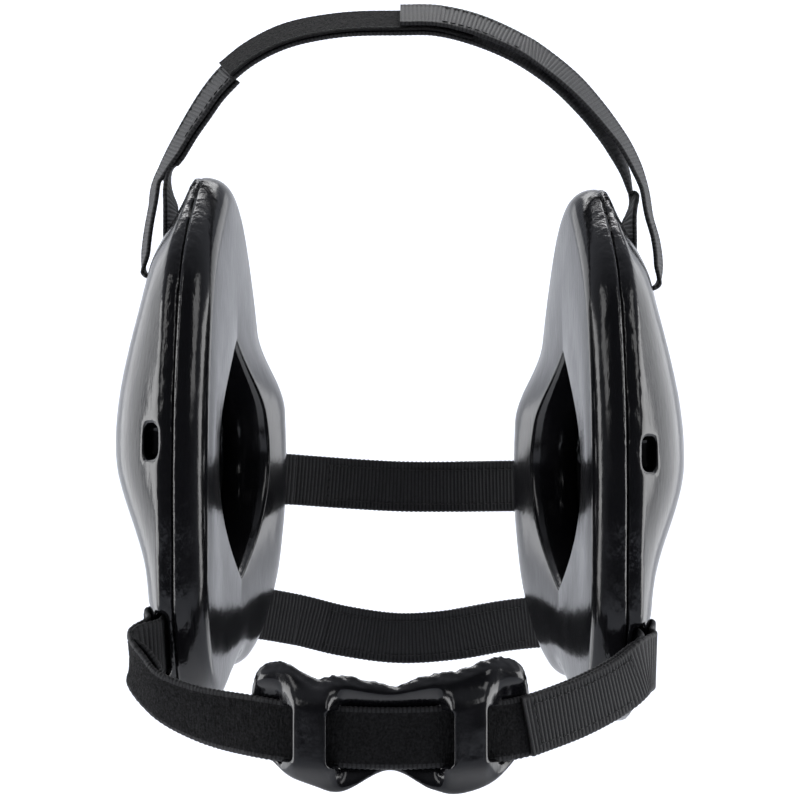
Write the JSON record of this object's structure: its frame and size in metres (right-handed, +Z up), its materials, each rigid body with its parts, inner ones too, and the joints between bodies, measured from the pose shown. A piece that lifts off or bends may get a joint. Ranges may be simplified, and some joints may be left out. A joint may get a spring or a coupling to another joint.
{
  "type": "wrestling ear guard",
  "caption": "Wrestling ear guard: padded ear cups with open ear hollows, joined by a top strap, rear straps and a chin strap woven through a moulded chin pad.",
  "frame": {"origin": "the middle of the underside of the top strap, where it rests on the crown of the head", "axes": "+Z is up, the wearer faces -Y, and +X is the wearer's left"},
  "size_m": [0.1906, 0.2021, 0.2563],
  "materials": {
    "dipped_vinyl": "smooth black vinyl skin over foam, glossy, finely brushed and wrinkled at its edges",
    "webbing": "black ribbed webbing with beaded selvedges",
    "loop_fuzz": "matte black fuzzy loop tape"
  },
  "bodies": {
    "root": {"right_outer_shell": "dipped_vinyl", "left_outer_shell": "dipped_vinyl", "right_inner_pad": "dipped_vinyl", "left_inner_pad": "dipped_vinyl", "chin_pad": "dipped_vinyl", "top_strap": "webbing", "rear_upper_strap": "webbing", "rear_lower_strap": "webbing", "chin_strap": "webbing", "top_loop_tape": "loop_fuzz"}
  },
  "joints": []
}
